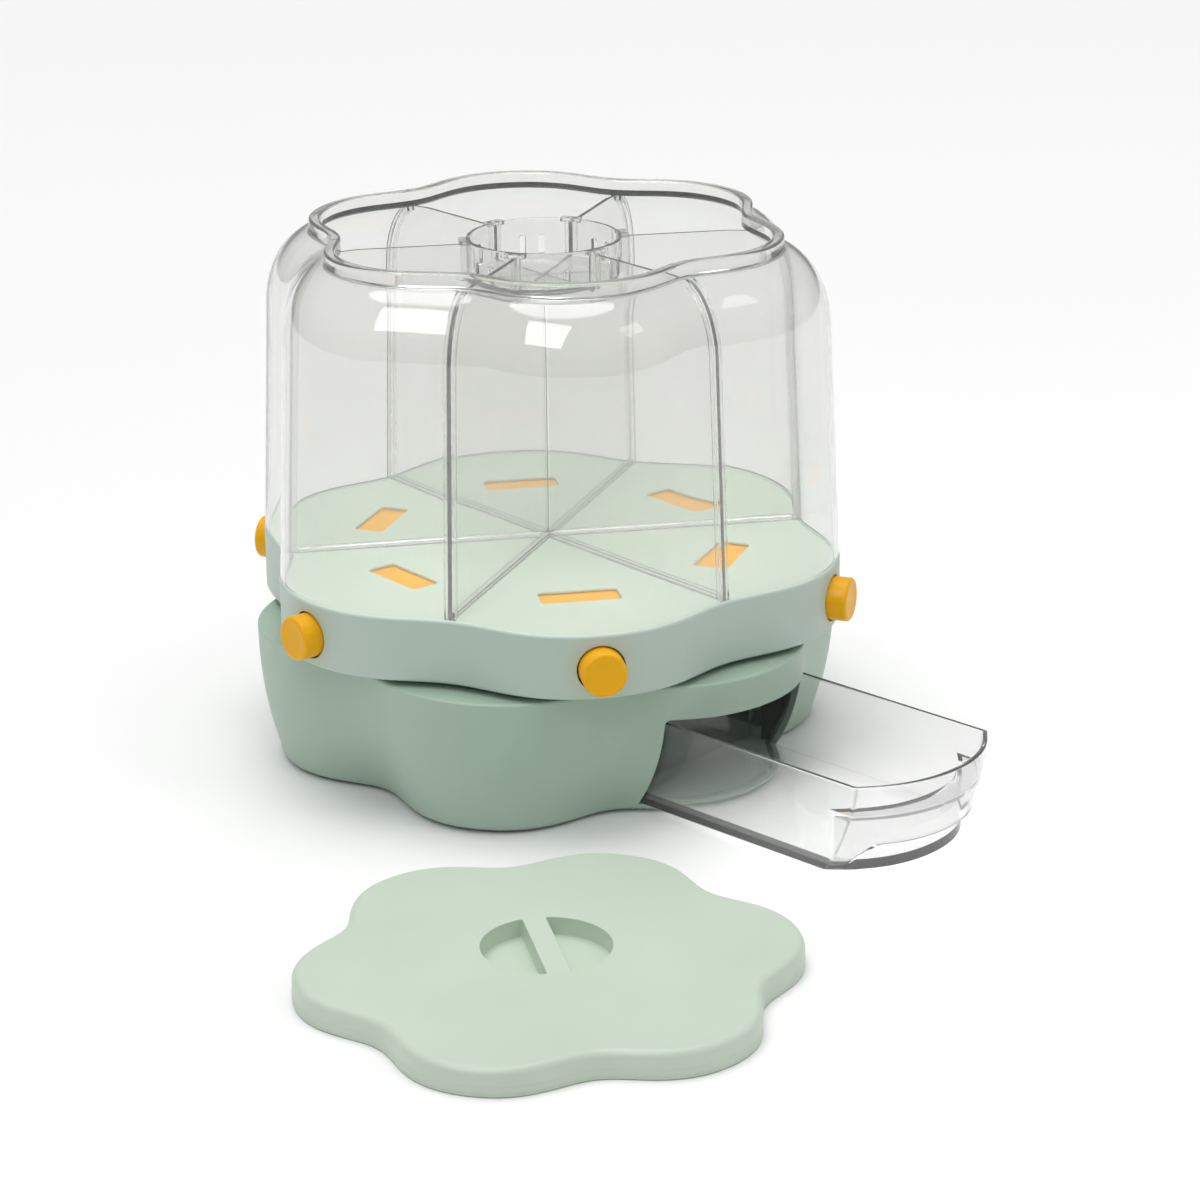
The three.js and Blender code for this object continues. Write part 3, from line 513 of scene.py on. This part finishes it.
def drawer():
    rim, foot, corner, inner_corner = 0.8, 0.6, 1.0, 1.6
    bends = [(up, 1 - math.sqrt(1 - up ** 2)) for up in (1, 0.85, 0.6, 0.3)]
    outer = [drawer_loop(DRAWER_BOTTOM + foot * up, foot * inward, corner) for up, inward in bends]
    heights = np.linspace(DRAWER_BOTTOM + foot, DRAWER_TOP - rim, 16)
    outer += [drawer_loop(z, 0, corner) for z in heights]
    outer += [drawer_loop(DRAWER_TOP - rim + rim * y, rim * x, corner) for x, y in quarter()[1:]]
    floor = DRAWER_BOTTOM + DRAWER_WALL
    inner = [drawer_loop(floor + 2.5 * up, DRAWER_WALL + 2.5 * inward, inner_corner) for up, inward in bends]
    inner += [drawer_loop(z, DRAWER_WALL, inner_corner) for z in np.linspace(floor + 2.5, DRAWER_TOP - rim, 16)]
    inner += [drawer_loop(DRAWER_TOP - rim + rim * y, DRAWER_WALL - rim * x, inner_corner)
              for x, y in quarter()[1:]]
    inner += [drawer_loop(DRAWER_TOP + 2, DRAWER_WALL - rim, inner_corner, DRAWER_TOP)]
    hollow = combine(loft("inner", inner), ("DIFFERENCE", grip_space(DRAWER_WALL)))
    obj = combine(loft("outer", outer), ("DIFFERENCE", [grip_space(0), grip_notch(), hollow]))
    place = base_frame @ Matrix.Translation((DRAWER_OUT * MM, 0, 0))
    return finish(obj, "drawer_fine", drawer_clear, "drawer", "drawer", place, 30)


# ---- carousel ----
def along_x(obj, height):
    """Lays a lathe about Z down along X, its axis at a height."""
    return moved(obj, Matrix.Translation((0, 0, height * MM)) @ Matrix.Rotation(math.pi / 2, 4, "Y"))


def tray():
    edge, foot = 1.3, 1.6
    outside = [(TRAY_MEAN - foot * (1 - y), TRAY_BOTTOM + foot * x, TRAY_LOBE) for x, y in quarter()]
    outside += [(TRAY_MEAN - edge * x, TRAY_TOP - edge + edge * y, TRAY_LOBE) for x, y in quarter()]
    inside = TRAY_MEAN - SKIRT
    half = SLOT_WIDTH / 2 - 0.5
    tube = box(CHUTE_INNER - CHUTE_WALL, CHUTE_OUTER + CHUTE_WALL, -half - CHUTE_WALL, half + CHUTE_WALL,
               TRAY_BOTTOM + 1, TUBE_TOP)
    chute = box(CHUTE_INNER, CHUTE_OUTER, -half, half, TRAY_BOTTOM - 1, TUBE_TOP + 1)
    bracket = box(BRACKET_INNER, BRACKET_INNER + BRACKET, -8, 8, TRAY_BOTTOM + 1, TUBE_TOP)
    stem = along_x(rod(STEM_RADIUS + CLEARANCE, BRACKET_INNER - 1, BRACKET_INNER + BRACKET + 1), BUTTON_HEIGHT)
    hole = rod(BUTTON_RADIUS + 2 * CLEARANCE, LOBE_RADIUS - SKIRT - 4, LOBE_RADIUS + 5, steps=96)
    hole = along_x(hole, BUTTON_HEIGHT)
    boss = rod(BOSS_RADIUS, TRAY_BOTTOM + 1, COVER_UNDER - 8, COVER_SCREW_RADIUS)
    head = rod(3.3, TRAY_BOTTOM - 1, TRAY_BOTTOM + 2.7, COVER_SCREW_RADIUS)
    shank = rod(1.8, TRAY_BOTTOM, COVER_UNDER, COVER_SCREW_RADIUS)
    bore = POST_RADIUS + CLEARANCE
    obj = combine(lobed("tray", outside),
                  ("DIFFERENCE", lobed("inside", [(inside, TRAY_BOTTOM + TRAY_FLOOR, TRAY_LOBE),
                                                  (inside, TRAY_TOP + 1, TRAY_LOBE)])),
                  ("UNION", [rod(bore + HUB_WALL, TRAY_BOTTOM + 1, POST_TOP - CLEARANCE),
                             *each(tube, lobe_angles), *each(bracket, lobe_angles), *each(boss, notch_angles)]),
                  ("DIFFERENCE", [rod(bore, TRAY_BOTTOM - 1, POST_TOP + 1), *each(chute, lobe_angles),
                                  *each(stem, lobe_angles), *each(hole, lobe_angles),
                                  *each(head, notch_angles), *each(shank, notch_angles)]))
    return finish(obj, "tray_fine", sage, "carousel", "tray", carousel_frame)


def tray_cover():
    mean = TRAY_MEAN - SKIRT - CLEARANCE
    plate = lobed("cover", [(mean, COVER_UNDER, TRAY_LOBE), (mean, TRAY_TOP - 0.3, TRAY_LOBE),
                            (mean - 0.3, TRAY_TOP, TRAY_LOBE)])
    inner, outer, half = SLOT_RADIUS - SLOT_DEPTH / 2, SLOT_RADIUS + SLOT_DEPTH / 2, SLOT_WIDTH / 2
    loops = []
    for height, grow in ((COVER_UNDER - 1, 0), (TRAY_TOP - 0.4, 0), (TRAY_TOP - 0.15, 0.1),
                         (TRAY_TOP, 0.4), (TRAY_TOP + 1, 1.4)):
        outline = soft([(inner - grow, -half - grow), (outer + grow, -half - grow),
                        (outer + grow, half + grow), (inner - grow, half + grow)], 2.4)
        loops.append([(x, y, height) for x, y in outline])
    slot = loft("slot", loops)
    boss = rod(BOSS_RADIUS, COVER_UNDER - 8 + SEAT_GAP, COVER_UNDER + 0.5, COVER_SCREW_RADIUS)
    hole = rod(1.7, COVER_UNDER - 9, TRAY_TOP - 0.8, COVER_SCREW_RADIUS)
    obj = combine(plate, ("UNION", each(boss, notch_angles)),
                  ("DIFFERENCE", [*each(slot, lobe_angles), *each(hole, notch_angles)]))
    return finish(obj, "tray_cover_fine", pale_sage, "carousel", "tray_cover", carousel_frame)


def button(number, angle):
    face = LOBE_RADIUS + BUTTON_STAND
    edge = 1.5
    crown = [(BUTTON_RADIUS, EAR_INNER), (BUTTON_RADIUS, face - edge)]
    crown += [(BUTTON_RADIUS - edge * x, face - edge + edge * y) for x, y in quarter(6)[1:]]
    crown += [(BUTTON_RADIUS - 2.4, face - 0.02), (BUTTON_RADIUS - 3.4, face - 0.25), (3, face - 0.45)]
    cap = along_x(round_bar("cap", crown, 96), BUTTON_HEIGHT)
    ears = eased(box(EAR_INNER, EAR_OUTER, -14, 14, BUTTON_HEIGHT - 6, BUTTON_HEIGHT + 6), 0.5)
    web = box(EAR_INNER, EAR_OUTER - 0.5, -8, 8, BUTTON_HEIGHT, SHUTTER_TOP - 0.2)
    stem = along_x(round_bar("stem", [(STEM_RADIUS - 0.6, STEM_END), (STEM_RADIUS, STEM_END + 0.6),
                                      (STEM_RADIUS, EAR_INNER + 1)], 32), BUTTON_HEIGHT)
    half = SLOT_WIDTH / 2 + 4
    inner = SLOT_RADIUS - SLOT_DEPTH / 2 - 2.5
    plate = eased(box(inner, EAR_OUTER - 2, -half, half, SHUTTER_UNDER, SHUTTER_TOP), 0.3)
    window = box(WINDOW_INNER, WINDOW_INNER + GATE_WINDOW, -SLOT_WIDTH / 2, SLOT_WIDTH / 2,
                 SHUTTER_UNDER - 1, SHUTTER_TOP + 1)
    obj = combine(cap, ("UNION", [ears, web, stem, plate]), ("DIFFERENCE", window))
    turn = carousel_frame @ Matrix.Rotation(angle, 4, "Z")
    return finish(obj, f"button_{number}_fine", yellow, f"button_{number}", f"button_{number}", turn)


def spring(number, angle):
    """A return spring from its bracket to its button's ears. The real spring shortens as its button goes in."""
    start = BRACKET_INNER + BRACKET + SEAT_GAP + SPRING_WIRE
    end = EAR_INNER - SEAT_GAP - SPRING_WIRE
    loops = []
    for t in np.linspace(0, 1, SPRING_TURNS * 28 + 1):
        turn = math.tau * SPRING_TURNS * t
        out = np.array([0, math.cos(turn), math.sin(turn)])
        middle = np.array([start + (end - start) * t, 0, BUTTON_HEIGHT]) + out * SPRING_RADIUS
        loops.append([middle + SPRING_WIRE * (math.cos(a) * out + math.sin(a) * np.array([1, 0, 0]))
                      for a in np.linspace(0, math.tau, 10, endpoint=False)])
    turn = carousel_frame @ Matrix.Rotation(angle, 4, "Z")
    obj = finish(loft("spring", loops), f"spring_{number}_fine", steel, "carousel", f"spring_{number}", turn)
    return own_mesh(obj)


def shell_side(inset, steps=20):
    """The container's side from the tray to the rim: (mean radius, height, lobe depth)."""
    foot, low = TRAY_MEAN - 0.4, TRAY_TOP + SEAT_GAP
    shoulder, sweep = foot - SHELL_DRAFT, math.radians(80)
    rise = SHELL_TOP - RIM_HEIGHT - SHOULDER_START
    points = [(foot - SHELL_DRAFT * t - inset, low + (SHOULDER_START - low) * t, TRAY_LOBE)
              for t in np.linspace(0, 1, 8)]
    for turn in np.linspace(0, sweep, steps + 1)[1:]:
        share = (1 - math.cos(turn)) / (1 - math.cos(sweep))
        points.append((shoulder - (shoulder - RIM_MEAN) * share - inset * math.cos(turn),
                       SHOULDER_START + rise * math.sin(turn) / math.sin(sweep) - inset * math.sin(turn),
                       TRAY_LOBE + (RIM_LOBE - TRAY_LOBE) * share))
    return points


def at_notch(point):
    mean, height, depth = point
    return mean + depth * float(wave(math.pi / LOBES)), height


def standing(outline, thickness, across=0.0):
    """A plate in the plane of the radius and the height."""
    faces = (across - thickness / 2, across + thickness / 2)
    return loft("plate", [[(x, y, z) for x, z in outline] for y in faces])


def container_shell():
    outside, inside = shell_side(0), shell_side(SHELL_WALL)[::-1]
    inner, under, edge = RIM_MEAN - RIM_WIDTH, SHELL_TOP - RIM_HEIGHT, 1.3
    foot_mean, low, depth = outside[0]
    profile = [(foot_mean - 0.9, low, depth), (foot_mean - 0.3, low + 0.25, depth),
               (foot_mean, low + 0.9, depth)]
    profile += [*outside[1:], (RIM_MEAN, under + 0.8, RIM_LOBE)]
    profile += [(RIM_MEAN - edge * x, SHELL_TOP - edge + edge * y, RIM_LOBE) for x, y in quarter()]
    profile += [(inner + edge * x, SHELL_TOP - edge + edge * y, RIM_LOBE) for x, y in quarter()[::-1]]
    profile += [(inner, under - SHELL_WALL + 0.8, RIM_LOBE), (inner + 0.8, under - SHELL_WALL, RIM_LOBE),
                *inside]
    buried = [at_notch(p) for p in shell_side(SHELL_WALL / 2)[:-1]]
    free = [at_notch(p) for p in shell_side(SHELL_WALL + RIB_DEPTH)[:-1]][::-1]
    across = BLADE / 2 + CLEARANCE + RIB / 2
    ribs = [rib for place in (-across, across)
            for rib in each(standing(buried + free, RIB, place), notch_angles)]
    obj = combine(lobed("shell", profile, closed=True), ("UNION", ribs))
    return finish(obj, "container_shell_fine", clear, "carousel", "container_shell", carousel_frame, 30)


def divider():
    side = [at_notch(p) for p in shell_side(SHELL_WALL + CLEARANCE)]
    side = [(radius, height) for radius, height in side if height < BLADE_TOP - 1 and radius > BLADE_REACH]
    low = TRAY_TOP + SEAT_GAP
    side[0] = (side[0][0], low)
    recess, floor = CUP_RADIUS + CLEARANCE, BLADE_TOP - CUP_DEPTH - CLEARANCE
    outline = [(0, low), *side, (BLADE_REACH, BLADE_TOP), (recess, BLADE_TOP), (recess, floor), (0, floor)]
    blades = each(eased(standing(outline, BLADE), 0.3, 60), notch_angles)
    foot_end = at_notch(shell_side(SHELL_WALL + RIB_DEPTH)[0])[0] - CLEARANCE
    strip = eased(box(0, foot_end, -BLADE_FOOT / 2, BLADE_FOOT / 2, low, low + BLADE_FOOT_HEIGHT), 0.5)
    core = round_bar("core", [(2.2, low), (2.2, floor)], 48)
    obj = combine(core, ("UNION", blades + each(strip, notch_angles)))
    return finish(obj, "divider_fine", clear, "carousel", "divider", carousel_frame, 30)


def desiccant_cup():
    top, low, edge = BLADE_TOP + SEAT_GAP + CUP_WALL, BLADE_TOP - CUP_DEPTH, 0.7
    inner = CUP_RADIUS - CUP_WALL
    outside = [(CUP_RADIUS - 2 * (1 - y), low + 2 * x) for x, y in quarter()]
    outside += [(CUP_RADIUS - edge * x, top - edge + edge * y) for x, y in quarter()]
    hollow = [(inner - 1.2 * (1 - y), low + CUP_WALL + 1.2 * x) for x, y in quarter()]
    hollow += [(inner, top - edge), (inner + edge * 0.3, top - edge * 0.3),
               (inner + edge, top + 0.1), (inner + edge, top + 1)]
    tab_loop = soft([(CUP_RADIUS - CUP_WALL / 2, -5), (CUP_RADIUS + 3.5, -5), (CUP_RADIUS + 3.5, 5),
                     (CUP_RADIUS - CUP_WALL / 2, 5)], [0, 2, 2, 0])
    tabs = each(prism("tab", tab_loop, BLADE_TOP + SEAT_GAP, top - 0.05), notch_angles)
    slot_low = low + CUP_WALL + 0.4
    arch = soft([(-CUP_SLOT / 2, slot_low), (CUP_SLOT / 2, slot_low),
                 (CUP_SLOT / 2, slot_low + 9), (-CUP_SLOT / 2, slot_low + 9)], 1.2)
    slot = loft("slot", [[(x, y, z) for y, z in arch] for x in (CUP_RADIUS - 6, CUP_RADIUS + 3)])
    places = [angle + math.radians(turn) for angle in lobe_angles for turn in (-7.5, 7.5)]
    across = BLADE / 2 + CLEARANCE + CUP_RIB / 2
    ribs = []
    for place in (-across, across):
        rib = box(CUP_RADIUS - CUP_WALL / 2, CUP_RADIUS + CUP_RIB_DEPTH, place - CUP_RIB / 2,
                  place + CUP_RIB / 2, low + 0.6, top - CUP_WALL / 2)
        ribs += each(eased(rib, 0.25), notch_angles)
    obj = combine(round_bar("cup", outside, 120), ("DIFFERENCE", round_bar("hollow", hollow, 120)),
                  ("UNION", tabs + ribs), ("DIFFERENCE", each(slot, places)))
    return finish(obj, "desiccant_cup_fine", clear, "carousel", "desiccant_cup", carousel_frame, 30)


# ---- lid ----
SEAL_LOW, SEAL_HIGH, SEAL_SEAT = 1.6, 4.2, 1.6


def lid():
    foot = 0.6
    outside = [(LID_MEAN - foot * (1 - y), foot * x, LID_LOBE) for x, y in quarter(3)]
    groove = ((0, SEAL_LOW - SEAT_GAP), (SEAL_SEAT, SEAL_LOW - SEAT_GAP),
              (SEAL_SEAT, SEAL_HIGH + SEAT_GAP), (0, SEAL_HIGH + SEAT_GAP))
    outside += [(LID_MEAN - inset, height, LID_LOBE) for inset, height in groove]
    outside += [(LID_MEAN - LID_EDGE * x, LID_THICK - LID_EDGE + LID_EDGE * y, LID_LOBE)
                for x, y in quarter(10)]
    inner, under = LID_MEAN - LID_WALL, LID_THICK - LID_TOP_WALL
    inside = [(inner, -1, LID_LOBE)]
    inside += [(inner - 1.5 * x, under - 1.5 + 1.5 * y, LID_LOBE) for x, y in quarter()]
    floor, half = LID_THICK - HANDLE_DEPTH, HANDLE_BAR / 2
    well = round_bar("well", [(HANDLE_RADIUS + 1.4, floor - 2), (HANDLE_RADIUS + 2.2, floor - 1.2),
                              (HANDLE_RADIUS + 2.2, LID_THICK - 1)], 128)
    moved(well, Matrix.Translation((0, HANDLE_OFFSET * MM, 0)))
    pockets = []
    for side in (1, -1):
        loops = []
        for height, grow in ((floor, -0.8), (floor + 0.25, -0.3), (floor + 0.8, 0), (LID_THICK - 0.6, 0),
                             (LID_THICK - 0.25, 0.12), (LID_THICK, 0.5), (LID_THICK + 1, 1.5)):
            radius, flat = HANDLE_RADIUS + grow, half - grow
            end = math.acos(flat / radius)
            curve = [(radius * math.cos(a) * side, radius * math.sin(a)) for a in np.linspace(-end, end, 60)]
            outline = soft_some(curve, {0: 1.2, 59: 1.2})
            loops.append([(x, y + HANDLE_OFFSET, height) for x, y in outline])
        pockets.append(loft("pocket", loops))
    obj = combine(lobed("lid", outside), ("DIFFERENCE", lobed("under", inside)), ("UNION", well),
                  ("DIFFERENCE", pockets))
    channel = box(-half + 2.2, half - 2.2, HANDLE_OFFSET - 31, HANDLE_OFFSET + 31, -1, LID_THICK - 2.4)
    combine(obj, ("DIFFERENCE", channel))
    return finish(obj, "lid_fine", pale_sage, "lid", "lid", lid_frame)


def lid_seal():
    inner, outer, middle = LID_MEAN - SEAL_SEAT + SEAT_GAP, LID_MEAN + 0.1, (SEAL_LOW + SEAL_HIGH) / 2
    half = (SEAL_HIGH - SEAL_LOW) / 2 + SEAT_GAP - 0.03
    lip = [(outer - 0.15 + 0.15 * math.cos(t), middle + half * math.sin(t), LID_LOBE)
           for t in np.linspace(-1.5, 1.5, 9)]
    profile = [(inner, middle - half, LID_LOBE), *lip, (inner, middle + half, LID_LOBE)]
    return finish(lobed("seal", profile, closed=True), "lid_seal_fine", silicone, "lid", "lid_seal", lid_frame)


# ---- the pieces that keep their solids ----
for node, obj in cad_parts.items():
    obj.data.materials.clear()
    if node.startswith("foot_"):
        obj.data.materials.append(rubber)
    elif node == "glide_ring":
        obj.data.materials.append(nylon)
    elif "screw" in node or "washer" in node or "spring" in node:
        obj.data.materials.append(steel)
    else:
        # The other kept pieces take the base's darkened sage, with its painted shade.
        obj.data.materials.append(sage_painted_shade)

base_shell()
drawer()
tray()
tray_cover()
for i, turn_angle in enumerate(lobe_angles, 1):
    button(i, turn_angle)
    spring(i, turn_angle)
container_shell()
divider()
desiccant_cup()
lid()
lid_seal()


# ---- floor, light and camera ----
def floor():
    corners = ((-1, -1), (1, -1), (1, 1), (-1, 1))
    obj = make("floor", [(9000 * x, 9000 * y, -0.2) for x, y in corners], [(0, 1, 2, 3)])
    material, tree, shader = nodes_of("floor_white")
    shader.inputs["Base Color"].default_value = (0.93, 0.93, 0.93, 1)
    shader.inputs["Roughness"].default_value = 0.7
    shader.inputs["Specular IOR Level"].default_value = 0.1
    obj.data.materials.append(material)


def light_world():
    """A pale sky that darkens towards the horizon, so that clear edges read."""
    world = bpy.data.worlds.new("studio")
    scene.world = world
    world.use_nodes = True
    tree = world.node_tree
    coordinates = tree.nodes.new("ShaderNodeTexCoord")
    parts = tree.nodes.new("ShaderNodeSeparateXYZ")
    ramp = tree.nodes.new("ShaderNodeValToRGB")
    ramp.color_ramp.elements[0].position = 0.0
    ramp.color_ramp.elements[0].color = (0.2, 0.2, 0.2, 1)
    ramp.color_ramp.elements[1].position = 0.5
    ramp.color_ramp.elements[1].color = (0.55, 0.55, 0.55, 1)
    tree.links.new(coordinates.outputs["Generated"], parts.inputs["Vector"])
    tree.links.new(parts.outputs["Z"], ramp.inputs["Fac"])
    tree.links.new(ramp.outputs["Color"], tree.nodes["Background"].inputs["Color"])
    tree.nodes["Background"].inputs["Strength"].default_value = 1.0


def lamp(kind, name, place, target, energy, lit=True, mirrored=True, **settings):
    data = bpy.data.lights.new(name, kind)
    data.energy = energy
    for key, value in settings.items():
        setattr(data, key, value)
    obj = bpy.data.objects.new(name, data)
    obj.location = place
    obj.rotation_euler = (Vector(target) - Vector(place)).to_track_quat("-Z", "Y").to_euler()
    obj.visible_diffuse, obj.visible_glossy = lit, mirrored
    scene.collection.objects.link(obj)


def camera():
    elevation, azimuth, pan, tilt, roll = (math.radians(a) for a in (21.73, -44.94, 0.83, 2.09, -0.90))
    distance = 1.67922
    place = Vector((0, -math.cos(elevation), math.sin(elevation))) * distance
    ahead, right = -place.normalized(), Vector((1, 0, 0))
    up = right.cross(ahead)
    ahead, right = ahead * math.cos(pan) + right * math.sin(pan), right * math.cos(pan) - ahead * math.sin(pan)
    ahead, up = ahead * math.cos(tilt) + up * math.sin(tilt), up * math.cos(tilt) - ahead * math.sin(tilt)
    right, up = right * math.cos(roll) + up * math.sin(roll), up * math.cos(roll) - right * math.sin(roll)
    turn = Matrix((right, up, -ahead)).transposed().to_4x4()
    data = bpy.data.cameras.new("camera")
    data.sensor_width = 36
    data.lens = 105.32
    data.clip_end = 60
    obj = bpy.data.objects.new("camera", data)
    obj.matrix_world = Matrix.Rotation(azimuth, 4, "Z") @ Matrix.Translation(place) @ turn
    scene.collection.objects.link(obj)
    scene.camera = obj


floor()
light_world()
lamp("SUN", "sky_fill", (0.1, 0.4, 3), (0, 0, 0), 1.5, angle=math.radians(45))
front, middle = (-1.3, -0.5, 1.6), (0, 0, 0.15)
lamp("AREA", "front_box", front, middle, 20, lit=False, shape="RECTANGLE", size=1.1, size_y=1.15)
lamp("AREA", "front_fill", front, middle, 5, mirrored=False, shape="RECTANGLE", size=1.1, size_y=1.15)
lamp("AREA", "side_box", (0.4, -1.5, 1.5), middle, 3.5, mirrored=False, shape="RECTANGLE", size=0.6, size_y=0.5)
camera()
scene.view_settings.view_transform = "Standard"
scene.cycles.max_bounces = 24
scene.cycles.transmission_bounces = 24
scene.cycles.transparent_max_bounces = 24
